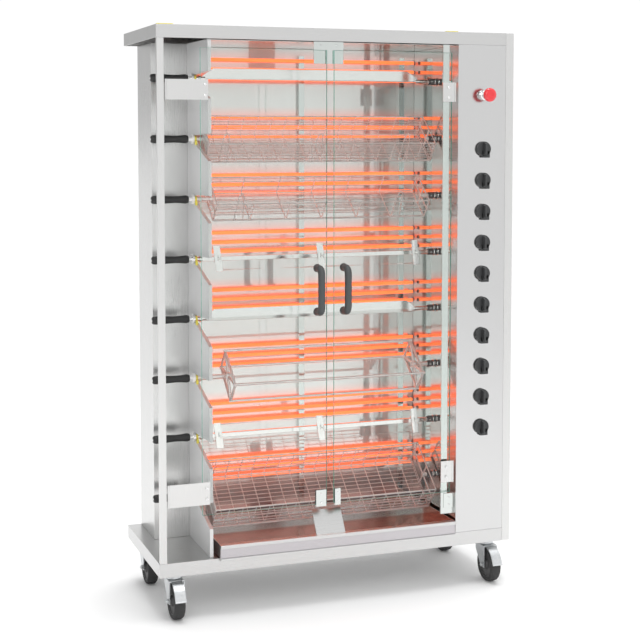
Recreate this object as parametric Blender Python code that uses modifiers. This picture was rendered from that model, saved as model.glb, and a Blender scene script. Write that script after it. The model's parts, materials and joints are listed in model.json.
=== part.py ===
"""Free-standing eight-spit rotisserie oven on casters, in metres, +Z up.

The origin is on the floor under the middle of the oven's box. Places are given as
(across, deep, high): across from the left edge, deep from the front plane, high from
the floor. Each named object is one separate piece of the real oven.
"""
import math

import bmesh
import bpy
from mathutils import Matrix, Vector

# Overall size
WIDTH = 1.320
DEPTH = 0.505
REACH = 0.054              # how far the stop button stands out in front
CASTER_HEIGHT = 0.152
PLINTH_HEIGHT = 0.048
LID_HEIGHT = 0.044
TOP = 2.012
SHEET = 0.003
GAP = 0.0003               # clearance between pieces that touch

# Where the main pieces stand, across from the left edge
WALL_LEFT = (0.180, 0.192)
FASCIA_LEFT = 1.100
SIDE_LEFT = 1.289
BACK_WALL_DEEP = 0.397
HOUSING_LEFT = 0.050
HOUSING_DEEP = 0.290
FLOOR = CASTER_HEIGHT + PLINTH_HEIGHT
CEILING = TOP - LID_HEIGHT

# Spits
SPITS = 8
SPIT_DEEP = 0.200
SPIT_TOP = 1.842
SPIT_PITCH = 0.210
SHAFT_RADIUS = 0.008
BAR_HALF = 0.008
RACK_TILT = math.radians(40)

# Heaters
ROD_DEEP = 0.372
ROD_RADIUS = 0.005
ROD_HEIGHTS = (0.009, 0.042, 0.077)
RAILS_ACROSS = (0.235, 0.640, 1.045)

# Doors
GLASS_DEEP = (0.005, 0.013)
GLASS_HIGH = (0.352, 1.938)
LEFT_GLASS = (0.152, 0.603)
RIGHT_GLASS = (0.6295, 1.078)
LEFT_PIVOT = 0.032
RIGHT_PIVOT = 1.087
LEAF_HIGH = ((0.390, 0.468), (1.764, 1.832))
HANDLE_ACROSS = (0.566, 0.664)
HANDLE_HIGH = (1.034, 1.186)

# Controls
KNOBS = 10
KNOB_ACROSS = 1.199
KNOB_TOP = 1.596
KNOB_PITCH = 0.1123
STOP_ACROSS = 1.204
STOP_HIGH = 1.789

# Drip tray
TRAY = (0.209, 1.092)
TRAY_DEEP = (-0.014, 0.366)
TRAY_RIM = 0.248

# Casters: (name, across, deep, has a brake pedal)
CASTERS = (
    ("front_left", 0.062, 0.060, True),
    ("front_right", 1.250, 0.060, True),
    ("rear_left", 0.062, 0.455, False),
    ("rear_right", 1.250, 0.455, False),
)
WHEEL_RADIUS = 0.0625
TRAIL = 0.035

LOOKS = {
    "brushed": ((0.70, 0.70, 0.69), 0.32, 1.0),
    "polished": ((0.80, 0.80, 0.79), 0.12, 1.0),
    "chrome": ((0.85, 0.85, 0.85), 0.08, 1.0),
    "glass": ((0.80, 0.92, 0.88), 0.03, 0.0),
    "grip": ((0.03, 0.03, 0.03), 0.45, 0.0),
    "bow": ((0.11, 0.115, 0.12), 0.5, 0.0),
    "red": ((0.75, 0.03, 0.04), 0.35, 0.0),
    "glow": ((0.93, 0.25, 0.06), 0.5, 0.0),
    "rubber": ((0.02, 0.02, 0.02), 0.7, 0.0),
    "zinc": ((0.62, 0.63, 0.64), 0.35, 1.0),
}


def clear_scene():
    for obj in list(bpy.data.objects):
        bpy.data.objects.remove(obj, do_unlink=True)


def at(across, deep, high):
    """The world point for a place on the oven."""
    front = REACH - (DEPTH + REACH) / 2
    return Vector((across - WIDTH / 2, front + deep, high))


def spit_high(index):
    return SPIT_TOP - SPIT_PITCH * index


def block(across, deep, high):
    """A box between pairs of limits."""
    low = at(across[0], deep[0], high[0])
    far = at(across[1], deep[1], high[1])
    bpy.ops.mesh.primitive_cube_add(size=1, location=(low + far) / 2)
    obj = bpy.context.object
    obj.data.transform(Matrix.Diagonal((*(far - low), 1)))
    return obj


def rod(start, end, radius, sides=12):
    """A round bar between two world points."""
    run = end - start
    bpy.ops.mesh.primitive_cylinder_add(
        vertices=sides, radius=radius, depth=run.length, location=(start + end) / 2
    )
    obj = bpy.context.object
    turn = run.to_track_quat("Z", "Y").to_matrix().to_4x4()
    obj.data.transform(turn)
    return obj


def turned(profile, origin, direction, steps=24):
    """A turned piece: profile is (radius, height) down its outer side."""
    mesh = bpy.data.meshes.new("profile")
    mesh.from_pydata([(r, 0, h) for r, h in profile],
                     [(i, i + 1) for i in range(len(profile) - 1)], [])
    obj = bpy.data.objects.new("turned", mesh)
    bpy.context.scene.collection.objects.link(obj)
    screw = obj.modifiers.new("Screw", "SCREW")
    screw.steps = steps
    screw.render_steps = steps
    screw.use_merge_vertices = True
    screw.merge_threshold = 0.00005
    bake(obj)
    obj.data.transform(Vector(direction).to_track_quat("Z", "Y").to_matrix().to_4x4())
    obj.location = origin
    return obj


def section(points, across):
    """A bar whose outline is (deep, high) points, between two places across."""
    curve = bpy.data.curves.new("outline", "CURVE")
    curve.dimensions = "2D"
    curve.fill_mode = "BOTH"
    curve.extrude = (across[1] - across[0]) / 2
    spline = curve.splines.new("POLY")
    spline.points.add(len(points) - 1)
    for point, (deep, high) in zip(spline.points, points):
        point.co = (deep, high, 0, 1)
    spline.use_cyclic_u = True
    guide = bpy.data.objects.new("outline", curve)
    bpy.context.scene.collection.objects.link(guide)
    origin = at(sum(across) / 2, 0, 0)
    turn = Matrix(((0, 0, 1, 0), (1, 0, 0, 0), (0, 1, 0, 0), (0, 0, 0, 1)))
    guide.matrix_world = Matrix.Translation(origin) @ turn
    return solid_from_curve(guide)


def wire(points, radius, sides_resolution=1):
    """A bent bar along world points."""
    curve = bpy.data.curves.new("wire", "CURVE")
    curve.dimensions = "3D"
    curve.bevel_depth = radius
    curve.bevel_resolution = sides_resolution
    curve.use_fill_caps = True
    spline = curve.splines.new("POLY")
    spline.points.add(len(points) - 1)
    for point, co in zip(spline.points, points):
        point.co = (*co, 1)
    guide = bpy.data.objects.new("wire", curve)
    bpy.context.scene.collection.objects.link(guide)
    return solid_from_curve(guide)


def solid_from_curve(guide):
    """The closed mesh of a curve, which is then removed."""
    bpy.context.view_layer.update()
    shape = guide.evaluated_get(bpy.context.evaluated_depsgraph_get())
    mesh = bpy.data.meshes.new_from_object(shape)
    mesh.transform(guide.matrix_world)
    bpy.data.objects.remove(guide, do_unlink=True)
    obj = bpy.data.objects.new("solid", mesh)
    bpy.context.scene.collection.objects.link(obj)
    tidy_mesh(obj)
    return obj


def tidy_mesh(obj):
    """Weld loose caps and point every face outwards."""
    work = bmesh.new()
    work.from_mesh(obj.data)
    bmesh.ops.remove_doubles(work, verts=work.verts, dist=0.00001)
    bmesh.ops.recalc_face_normals(work, faces=work.faces)
    work.to_mesh(obj.data)
    work.free()


def bake(obj):
    """Keep the shape that the modifiers give and drop them."""
    bpy.context.view_layer.update()
    shape = obj.evaluated_get(bpy.context.evaluated_depsgraph_get())
    mesh = bpy.data.meshes.new_from_object(shape)
    obj.modifiers.clear()
    obj.data = mesh


def combine(base, tools, operation):
    for tool in tools:
        step = base.modifiers.new("Join", "BOOLEAN")
        step.operation = operation
        step.solver = "EXACT"
        step.object = tool
        bake(base)
        bpy.data.objects.remove(tool, do_unlink=True)
    return base


def join(base, *tools):
    return combine(base, tools, "UNION")


def cut(base, *tools):
    return combine(base, tools, "DIFFERENCE")


def finish(obj, name, look, origin=None, smooth=False):
    """Name a piece, colour it, and put its origin on its joint's axis."""
    colour, roughness, metallic = LOOKS[look]
    obj.name = name
    obj.data.name = name
    if origin is not None:
        obj.data.transform(Matrix.Translation(obj.location - origin))
        obj.location = origin
    tidy_mesh(obj)
    if smooth:
        obj.data.shade_smooth()
        obj.data.set_sharp_from_angle(angle=math.radians(35))
    material = bpy.data.materials.new(name)
    material.use_nodes = True
    shader = material.node_tree.nodes["Principled BSDF"]
    shader.inputs["Base Color"].default_value = (*colour, 1)
    shader.inputs["Roughness"].default_value = roughness
    shader.inputs["Metallic"].default_value = metallic
    obj.data.materials.clear()
    obj.data.materials.append(material)
    for home in list(obj.users_collection):
        home.objects.unlink(obj)
    bpy.data.collections["rotisserie_oven"].objects.link(obj)
    return obj


def make_base_plinth():
    """A tray-shaped base with a hollow underside and four caster pads."""
    inside = 0.130
    border = 0.020
    pad = 0.038
    base = block((0, SIDE_LEFT - GAP), (0, DEPTH), (CASTER_HEIGHT, FLOOR))
    cut(base, block((inside, FASCIA_LEFT + 0.060), (border, DEPTH - border),
                    (CASTER_HEIGHT - 0.01, FLOOR - 0.010)))
    for _, across, deep, _ in CASTERS:
        join(base, block((across - pad, across + pad), (deep - pad, deep + pad),
                         (CASTER_HEIGHT - 0.004, CASTER_HEIGHT + 0.002)))
    finish(base, "base_plinth", "brushed")


def make_top_cover():
    lid = block((0, SIDE_LEFT - GAP), (0, DEPTH), (CEILING, TOP))
    cut(lid, block((SHEET, SIDE_LEFT - GAP - SHEET), (SHEET, DEPTH - SHEET),
                   (CEILING - 0.01, TOP - SHEET)))
    finish(lid, "top_cover", "brushed")


def make_housings():
    """The rear left column, the right side panel and the rear cover."""
    high = (FLOOR + GAP, CEILING - GAP)
    beyond = (FLOOR - 0.01, CEILING + 0.01)
    column = block((HOUSING_LEFT, WALL_LEFT[0] - GAP), (HOUSING_DEEP, DEPTH), high)
    cut(column, block((HOUSING_LEFT + SHEET, WALL_LEFT[0] - GAP - SHEET),
                      (HOUSING_DEEP + SHEET, DEPTH - SHEET), beyond))
    finish(column, "rear_housing", "brushed")

    side = block((SIDE_LEFT, WIDTH), (0, DEPTH), (CASTER_HEIGHT, TOP))
    cut(side, block((SIDE_LEFT - 0.01, WIDTH - SHEET), (SHEET, DEPTH - SHEET),
                    (CASTER_HEIGHT + SHEET, TOP - SHEET)))
    finish(side, "right_housing", "brushed")

    cover = block((WALL_LEFT[0], SIDE_LEFT - GAP), (DEPTH - SHEET, DEPTH), high)
    finish(cover, "rear_cover", "brushed")


def make_fascia():
    """The control panel, with its return into the oven and its shaft holes."""
    high = (FLOOR + GAP, CEILING - GAP)
    lip = 0.060
    panel = block((FASCIA_LEFT, SIDE_LEFT - GAP), (0, lip), high)
    cut(panel, block((FASCIA_LEFT + SHEET, SIDE_LEFT + 0.01), (SHEET, lip + 0.01),
                     (high[0] - 0.01, high[1] + 0.01)))
    for index in range(KNOBS):
        spot = KNOB_TOP - KNOB_PITCH * index
        cut(panel, rod(at(KNOB_ACROSS, -0.01, spot), at(KNOB_ACROSS, 0.02, spot), 0.006, 8))
    cut(panel, rod(at(STOP_ACROSS, -0.01, STOP_HIGH), at(STOP_ACROSS, 0.02, STOP_HIGH), 0.010))
    finish(panel, "control_fascia", "brushed")


def make_posts():
    """The front left post, a channel, and the slim right post with its foot bracket."""
    high = (FLOOR + GAP, CEILING - GAP)
    wall = 0.002
    left, right, back = 0.002, 0.026, 0.014
    post = block((left, right), (0, back), high)
    cut(post, block((left + wall, right + 0.004), (wall, back - wall), (0.1, TOP)))
    finish(post, "front_post_left", "brushed")

    foot = (0.270, 0.330)          # the bracket's height span
    deep = (0.016, 0.024)
    slim = block((1.0475, 1.073), deep, (foot[0], CEILING - GAP))
    join(slim, block((1.070, FASCIA_LEFT - GAP), deep, foot))
    finish(slim, "front_post_right", "polished")


def make_oven_walls():
    """The polished lining: notched left wall, back, right and ceiling."""
    high = (FLOOR + GAP, CEILING - GAP)
    left = block(WALL_LEFT, (0.016, BACK_WALL_DEEP + 0.003), high)
    seat = SHAFT_RADIUS + 0.005
    for index in range(SPITS):
        axis = spit_high(index)
        turn = [(SPIT_DEEP + seat * math.cos(math.radians(a)),
                 axis + seat * math.sin(math.radians(a))) for a in range(-90, 91, 30)]
        notch = turn + [(0.0, axis + 0.020), (0.0, axis - 0.078)]
        cut(left, section(notch, (WALL_LEFT[0] - 0.01, WALL_LEFT[1] + 0.01)))
    finish(left, "oven_left_wall", "polished")

    right = block((FASCIA_LEFT + 0.0035, FASCIA_LEFT + 0.0065), (0.061, BACK_WALL_DEEP + 0.003), high)
    for index in range(SPITS):
        axis = spit_high(index)
        cut(right, rod(at(1.09, SPIT_DEEP, axis), at(1.12, SPIT_DEEP, axis), 0.013, 12))
    finish(right, "oven_right_wall", "polished")

    roof = CEILING - GAP - SHEET
    back = block((WALL_LEFT[1] + GAP, FASCIA_LEFT + 0.003), (BACK_WALL_DEEP, BACK_WALL_DEEP + 0.003),
                 (FLOOR + GAP, roof - GAP))
    finish(back, "oven_back_wall", "polished")

    ceiling = block((WALL_LEFT[1] + GAP, FASCIA_LEFT - GAP), (0.0245, BACK_WALL_DEEP + 0.003),
                    (roof, roof + SHEET))
    finish(ceiling, "oven_ceiling", "polished")


def make_heaters():
    """Three heating rods behind each spit, carried by three upright rails."""
    rail_half = 0.006
    rail_deep = (ROD_DEEP + 0.004, BACK_WALL_DEEP - GAP)
    rail_high = (FLOOR + 0.060, CEILING - 0.030)
    rails = [block((across - rail_half, across + rail_half), rail_deep, rail_high)
             for across in RAILS_ACROSS]
    bank = join(*rails)
    for index in range(SPITS):
        for height in ROD_HEIGHTS:
            high = spit_high(index) + height
            start = at(WALL_LEFT[1] + 0.005, ROD_DEEP, high)
            end = at(FASCIA_LEFT - 0.004, ROD_DEEP, high)
            join(bank, rod(start, end, ROD_RADIUS, 8))
    finish(bank, "heater_bank", "glow")


def make_doors():
    """Two glass doors on long hinge leaves, with bow handles and a top catch."""
    for side, glass, pivot in (("left", LEFT_GLASS, LEFT_PIVOT), ("right", RIGHT_GLASS, RIGHT_PIVOT)):
        origin = at(pivot, 0, GLASS_HIGH[0])
        pane = block(glass, GLASS_DEEP, GLASS_HIGH)
        finish(pane, "door_glass_" + side, "glass", origin)
        for level, high in zip(("lower", "upper"), LEAF_HIGH):
            finish(hinge_leaf(side, pivot, high), "hinge_leaf_%s_%s" % (level, side), "brushed", origin)
    for side, across, pivot in zip(("left", "right"), HANDLE_ACROSS, (LEFT_PIVOT, RIGHT_PIVOT)):
        finish(bow_handle(across), "door_handle_" + side, "bow", at(pivot, 0, GLASS_HIGH[0]), True)
    plate = block((0.557, 0.667), (0.0145, 0.0175), (1.891, CEILING - GAP))
    finish(plate, "catch_plate_top", "polished")


def hinge_leaf(side, pivot, high):
    """A flat leaf with a barrel on the pivot and two bosses that meet the glass."""
    barrel = 0.004
    if side == "left":
        leaf = block((pivot, 0.177), (-0.001, 0.002), high)
        boss = 0.166
    else:
        leaf = block((1.040, pivot), (-0.001, 0.002), high)
        boss = 1.062
    middle = sum(high) / 2
    join(leaf, rod(at(pivot, 0, high[0]), at(pivot, 0, high[1]), barrel, 10))
    for offset in (-0.018, 0.018):
        join(leaf, rod(at(boss, -0.004, middle + offset),
                       at(boss, GLASS_DEEP[0] - GAP, middle + offset), 0.006, 8))
    return leaf


def bow_handle(across):
    """A bow of flat-sided bar, its two feet against the glass."""
    low, top = HANDLE_HIGH
    foot = GLASS_DEEP[0] - GAP
    out = -0.042
    bend = 0.020
    path = [(foot, top), (out + bend, top)]
    path += [(out + bend - bend * math.sin(a), top - bend + bend * math.cos(a))
             for a in (math.radians(30), math.radians(60), math.radians(90))]
    path += [(d, low + top - h) for d, h in reversed(path)]
    return wire([at(across, d, h) for d, h in path], 0.0125, 2)


def make_drip_tray():
    """The tray, its overhanging front, and the sloping pull plate."""
    wall = 0.003
    under = FLOOR + 0.003          # the tray's underside
    apron = 0.008                  # how far its front hangs below the plinth's top
    clear = 0.0008                 # between the apron and the plinth
    front, back = TRAY_DEEP
    tray = block(TRAY, (0.001, back), (under, TRAY_RIM))
    join(tray, block(TRAY, (front, -clear), (FLOOR - apron, TRAY_RIM)),
         block(TRAY, (front + 0.001, 0.006), (under, TRAY_RIM)))
    cut(tray, block((TRAY[0] + wall, TRAY[1] - wall), (0.004, back - wall),
                    (under + wall, TRAY_RIM + 0.01)))
    foot, tip = TRAY_RIM - 0.004, 0.325
    slope = [(front + wall, foot), (front + 0.008, foot), (0.046, tip - wall), (0.043, tip)]
    join(tray, section(slope, (0.560, 0.668)))
    finish(tray, "drip_tray", "polished")


def make_controls():
    """Ten knobs on shafts, and the mushroom stop button in its collar."""
    for index in range(KNOBS):
        high = KNOB_TOP - KNOB_PITCH * index
        origin = at(KNOB_ACROSS, 0, high)
        body = turned([(0, 0.014), (0.021, 0.014), (0.026, 0.011), (0.027, 0.001),
                       (0.0, 0.001)], origin, (0, -1, 0), 16)
        join(body, block((KNOB_ACROSS - 0.006, KNOB_ACROSS + 0.006), (-0.030, -0.008),
                         (high - 0.026, high + 0.024)),
             rod(at(KNOB_ACROSS, -0.005, high), at(KNOB_ACROSS, 0.020, high), 0.004, 8))
        finish(body, "knob_%d" % (index + 1), "grip", origin, True)

    spot = at(STOP_ACROSS, 0, STOP_HIGH)
    collar = turned([(0.0085, 0.026), (0.016, 0.026), (0.017, 0.024), (0.017, GAP), (0.0085, GAP),
                     (0.0085, 0.026)], spot, (0, -1, 0), 20)
    finish(collar, "estop_collar", "chrome", spot, True)
    button = turned([(0, REACH), (0.014, REACH - 0.001), (0.022, REACH - 0.005), (0.025, REACH - 0.010),
                     (0.024, REACH - 0.017), (0.0075, REACH - 0.019), (0.0075, -0.015), (0, -0.015)],
                    spot, (0, -1, 0), 24)
    finish(button, "estop_button", "red", spot, True)


def make_motor_rail():
    """The channel behind the lining that carries one gear motor for each spit."""
    rail = block((1.128, 1.131), (0.120, 0.280), (0.240, 1.930))
    for index in range(SPITS):
        high = spit_high(index)
        join(rail, block((1.130, 1.190), (0.165, 0.235), (high - 0.035, high + 0.035)))
    finish(rail, "motor_rail", "zinc")


def make_casters():
    """Swivel forks, two with a brake pedal, and their wheels."""
    for name, across, deep, braked in CASTERS:
        axis = at(across, deep, CASTER_HEIGHT)
        hub = deep - TRAIL
        fork = rod(at(across, deep, 0.128), at(across, deep, CASTER_HEIGHT - 0.004 - GAP), 0.024, 16)
        join(fork, block((across - 0.027, across + 0.027), (hub - 0.010, deep + 0.022), (0.1275, 0.133)))
        outline = [(deep + 0.022, 0.1275), (deep + 0.022, 0.110), (hub + 0.012, 0.052),
                   (hub - 0.012, 0.052), (hub - 0.014, 0.1275)]
        for side in (-1, 1):
            inner = across + side * 0.0235
            join(fork, section([(d, h + 0.001) for d, h in outline],
                               sorted((inner, inner + side * 0.0035))))
        join(fork, rod(at(across - 0.030, hub, WHEEL_RADIUS), at(across + 0.030, hub, WHEEL_RADIUS), 0.006, 8))
        if braked:
            arc = [(0.0665, a) for a in range(4, 77, 12)] + [(0.0700, a) for a in range(76, 3, -12)]
            pedal = [(hub - r * math.sin(math.radians(a)), WHEEL_RADIUS + r * math.cos(math.radians(a)))
                     for r, a in arc]
            join(fork, section(pedal, (across - 0.019, across + 0.019)))
        finish(fork, "caster_fork_" + name, "zinc", axis)

        centre = at(across, hub, WHEEL_RADIUS)
        half = 0.0195
        wheel = turned([(0.0065, half), (0.020, half), (0.022, half - 0.004), (0.050, half - 0.004),
                        (0.056, half), (WHEEL_RADIUS, half - 0.007), (WHEEL_RADIUS, 0.007 - half),
                        (0.056, -half), (0.050, 0.004 - half), (0.022, 0.004 - half), (0.020, -half),
                        (0.0065, -half), (0.0065, half)], centre, (1, 0, 0), 20)
        finish(wheel, "caster_wheel_" + name, "rubber", centre, True)


def tilted(points, index, tilt=RACK_TILT):
    """Section points about a spit's axis, turned by the rack's tilt."""
    cosine, sine = math.cos(tilt), math.sin(tilt)
    return [(SPIT_DEEP + d * cosine - h * sine, spit_high(index) + d * sine + h * cosine)
            for d, h in points]


def shaft(index, stop, radius=SHAFT_RADIUS):
    """The handle end of a spit: ferrule, thrust collar and shaft up to a place across."""
    high = spit_high(index)
    start = at(0.1583, SPIT_DEEP, high)
    body = rod(start, at(stop, SPIT_DEEP, high), radius, 12)
    join(body, rod(at(0.170, SPIT_DEEP, high), at(WALL_LEFT[0] - 0.001, SPIT_DEEP, high), 0.017, 16))
    return body


def socket(index, start):
    """The drive end: shaft, hexagonal socket and stub through the right wall."""
    high = spit_high(index)
    body = rod(at(start, SPIT_DEEP, high), at(1.1275, SPIT_DEEP, high), SHAFT_RADIUS, 12)
    join(body, rod(at(1.074, SPIT_DEEP, high), at(1.099, SPIT_DEEP, high), 0.0115, 6))
    return body


def blade_spit(index, tilt, drop=0.0):
    """A spit with a V-section blade, its fold on the axis or a little below it."""
    leg, thick = 0.035, 0.0025
    vee = [(0, -thick), (leg, leg - thick), (leg - thick, leg), (0, thick),
           (thick - leg, leg), (-leg, leg - thick)]
    vee = [(d * 0.75, h * 0.75) for d, h in vee]
    body = section([(deep, high - drop) for deep, high in tilted(vee, index, tilt)], (0.210, 1.032))
    join(body, shaft(index, 0.225), socket(index, 1.015))
    return body


def fork_spit(index):
    """A square bar with three pairs of meat forks."""
    half = BAR_HALF
    square = [(-half, -half), (half, -half), (half, half), (-half, half)]
    body = section(tilted(square, index, 0), (0.205, 1.045))
    join(body, shaft(index, 0.215), socket(index, 1.035))
    high = spit_high(index)
    reach = 0.040
    for across, ways in ((0.262, (1,)), (0.647, (-1, 1)), (1.020, (-1,))):
        join(body, block((across - 0.003, across + 0.003), (SPIT_DEEP - 0.016, SPIT_DEEP + 0.016),
                         (high - reach - 0.005, high + reach + 0.005)))
        for way in ways:
            for up in (-1, 1):
                start = at(across + way * 0.001, SPIT_DEEP, high + up * reach)
                end = at(across + way * 0.150, SPIT_DEEP, high + up * reach)
                join(body, rod(start, end, 0.0025, 6))
    return body


def trough_spit(index, span, wide, tall):
    """A basket on a spit: an open trough with two end plates."""
    wall = 0.003
    half, up = wide / 2, tall / 2
    trough = [(-half, up), (-half, -up), (half, -up), (half, up), (half - wall, up),
              (half - wall, wall - up), (wall - half, wall - up), (wall - half, up)]
    body = section(tilted(trough, index), span)
    rim = 0.001
    plate = [(-half - rim, up + rim), (-half - rim, -up - rim), (half + rim, -up - rim), (half + rim, up + rim)]
    for across in span:
        join(body, section(tilted(plate, index), (across - 0.002, across + 0.002)))
    join(body, shaft(index, span[0] + 0.001), socket(index, span[1] - 0.001))
    return body


def cradle_spit(index, span, wide, tall):
    """Four long rods held by a spider at each end."""
    corners = tilted([(-wide / 2, tall / 2), (-wide / 2, -tall / 2), (wide / 2, -tall / 2),
                      (wide / 2, tall / 2)], index)
    past = 0.006
    near = shaft(index, span[0] + past)
    far = socket(index, span[1] - past)
    for end, across in ((near, span[0]), (far, span[1])):
        for first, second in ((0, 2), (1, 3)):
            join(end, rod(at(across, *corners[first]), at(across, *corners[second]), 0.004, 8))
    for deep, high in corners:
        join(far, rod(at(span[0] - past, deep, high), at(span[1] + past, deep, high), 0.003, 8))
    return join(near, far)


def make_spits():
    """Eight spits: two blades, two with forks, and four racks; each with its grip."""
    makers = (
        lambda i: blade_spit(i, math.radians(-45)),
        lambda i: trough_spit(i, (0.213, 1.066), 0.150, 0.084),
        lambda i: trough_spit(i, (0.240, 1.045), 0.140, 0.078),
        fork_spit,
        lambda i: blade_spit(i, math.radians(45), 0.006),
        lambda i: cradle_spit(i, (0.300, 1.020), 0.158, 0.088),
        fork_spit,
        lambda i: trough_spit(i, (0.222, 1.060), 0.214, 0.104),
    )
    for index, maker in enumerate(makers):
        origin = at(WALL_LEFT[0], SPIT_DEEP, spit_high(index))
        finish(maker(index), "spit_%d" % (index + 1), "chrome", origin)
        grip = turned([(0, 0.132), (0.011, 0.132), (0.014, 0.127), (0.0145, 0.100), (0.012, 0.050),
                       (0.0145, 0.012), (0.0125, 0.0), (0, 0.0)],
                      at(0.158, SPIT_DEEP, spit_high(index)), (-1, 0, 0), 12)
        finish(grip, "spit_handle_%d" % (index + 1), "grip", origin, True)


def main():
    clear_scene()
    home = bpy.data.collections.new("rotisserie_oven")
    bpy.context.scene.collection.children.link(home)
    make_base_plinth()
    make_top_cover()
    make_housings()
    make_fascia()
    make_posts()
    make_oven_walls()
    make_heaters()
    make_doors()
    make_drip_tray()
    make_controls()
    make_motor_rail()
    make_casters()
    make_spits()


main()
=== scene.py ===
import json
import math

import bpy
from mathutils import Matrix, Vector


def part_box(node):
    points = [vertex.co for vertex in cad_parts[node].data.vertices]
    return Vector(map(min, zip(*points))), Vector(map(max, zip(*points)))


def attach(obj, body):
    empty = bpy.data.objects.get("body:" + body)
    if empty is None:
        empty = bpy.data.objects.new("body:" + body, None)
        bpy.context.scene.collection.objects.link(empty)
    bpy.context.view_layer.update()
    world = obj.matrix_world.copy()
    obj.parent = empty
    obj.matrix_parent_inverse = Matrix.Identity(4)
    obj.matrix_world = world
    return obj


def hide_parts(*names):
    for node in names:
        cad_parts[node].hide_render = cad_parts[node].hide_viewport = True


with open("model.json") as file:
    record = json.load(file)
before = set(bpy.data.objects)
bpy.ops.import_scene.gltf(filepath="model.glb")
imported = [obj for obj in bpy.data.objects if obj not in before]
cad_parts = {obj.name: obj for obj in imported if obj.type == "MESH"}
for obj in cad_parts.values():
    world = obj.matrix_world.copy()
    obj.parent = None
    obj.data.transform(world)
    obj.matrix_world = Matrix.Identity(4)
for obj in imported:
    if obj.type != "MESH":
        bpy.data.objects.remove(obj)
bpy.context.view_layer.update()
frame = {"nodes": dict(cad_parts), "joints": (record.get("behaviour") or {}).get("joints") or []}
nodes = frame["nodes"]
pivots = {joint["name"]: Vector(joint["pos_m"]) for joint in frame["joints"] if joint["type"] == "hinge"}
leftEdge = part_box("base_plinth")[0].x  # the oven's left side
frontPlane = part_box("front_post_left")[0].y  # the plane of its front sheets
spitCount = 8


# modelling helpers

def place(across, deep, high):
    return Vector((leftEdge + across, frontPlane + deep, high))


def pickOnly(obj):
    if bpy.context.mode != "OBJECT":
        bpy.ops.object.mode_set(mode="OBJECT")
    bpy.ops.object.select_all(action="DESELECT")
    obj.select_set(True)
    bpy.context.view_layer.objects.active = obj
    return obj


def placed(obj):
    bpy.context.scene.collection.objects.link(obj)
    return obj


def settle(obj, name):  # the place goes into the mesh
    pickOnly(obj)
    bpy.ops.object.transform_apply(location=True, rotation=True, scale=True)
    obj.name = name
    obj.data.name = name
    return obj


def applyModifiers(obj):
    pickOnly(obj)
    for step in list(obj.modifiers):
        bpy.ops.object.modifier_apply(modifier=step.name)
    return obj


def smoothed(obj, angle=35):
    pickOnly(obj)
    bpy.ops.object.shade_smooth_by_angle(angle=math.radians(angle))
    return obj


def rounded(obj, width, segments=2, angle=35):
    step = obj.modifiers.new("Bevel", "BEVEL")
    step.width = width
    step.segments = segments
    step.limit_method = "ANGLE"
    step.angle_limit = math.radians(angle)
    applyModifiers(obj)
    smoothed(obj, 40)
    even = obj.modifiers.new("Even", "WEIGHTED_NORMAL")  # flat faces stay flat beside their rounded edges
    even.weight = 100
    even.keep_sharp = True
    return applyModifiers(obj)


def cleanMesh(obj, gap=0.00001):
    pickOnly(obj)
    bpy.ops.object.mode_set(mode="EDIT")
    bpy.ops.mesh.select_all(action="SELECT")
    bpy.ops.mesh.remove_doubles(threshold=gap)
    bpy.ops.mesh.normals_make_consistent(inside=False)
    bpy.ops.object.mode_set(mode="OBJECT")
    return obj


def boxPiece(name, low, far, bevel=0.001, segments=2):
    bpy.ops.object.select_all(action="DESELECT")
    bpy.ops.mesh.primitive_cube_add(size=1, location=(low + far) / 2)
    obj = bpy.context.object
    obj.scale = far - low
    settle(obj, name)
    return rounded(obj, bevel, segments) if bevel else obj


def blockAt(name, middle, half, bevel=0.001, segments=2):
    return boxPiece(name, middle - Vector(half), middle + Vector(half), bevel, segments)


def roundBar(name, start, end, radius, sides=20, bevel=0.0005):
    run = end - start
    bpy.ops.object.select_all(action="DESELECT")
    bpy.ops.mesh.primitive_cylinder_add(vertices=sides, radius=radius, depth=run.length,
                                        location=(start + end) / 2)
    obj = bpy.context.object
    obj.rotation_mode = "QUATERNION"
    obj.rotation_quaternion = run.to_track_quat("Z", "Y")
    settle(obj, name)
    return rounded(obj, bevel, 2) if bevel else smoothed(obj)


def turnedPiece(name, profile, origin, direction, steps=32):  # profile is (radius, height)
    line = bpy.data.curves.new(name, "CURVE")
    line.dimensions = "3D"
    spline = line.splines.new("POLY")
    spline.points.add(len(profile) - 1)
    for point, (radius, height) in zip(spline.points, profile):
        point.co = (radius, 0, height, 1)
    pickOnly(placed(bpy.data.objects.new(name, line)))
    bpy.ops.object.convert(target="MESH")
    obj = bpy.context.object
    lathe = obj.modifiers.new("Lathe", "SCREW")
    lathe.steps = steps
    lathe.render_steps = steps
    lathe.use_merge_vertices = True
    lathe.merge_threshold = 0.00002
    applyModifiers(obj)
    cleanMesh(obj)
    obj.rotation_mode = "QUATERNION"
    obj.rotation_quaternion = Vector(direction).to_track_quat("Z", "Y")
    obj.location = origin
    settle(obj, name)
    return smoothed(obj)


def ringPiece(name, centre, bore, edges, steps):  # a ring across the oven, edges are (radius, half width)
    left = [(radius, -half) for radius, half in edges]
    right = [(radius, half) for radius, half in reversed(edges) if half]
    end = edges[0][1]
    profile = [(bore, -end), *left, *right, (bore, end), (bore, -end)]
    return turnedPiece(name, profile, centre, (1, 0, 0), steps)


def mirroredLoop(side):  # a closed profile from one half of it
    return [*side, *[(radius, -height) for radius, height in reversed(side)], side[0]]


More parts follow.
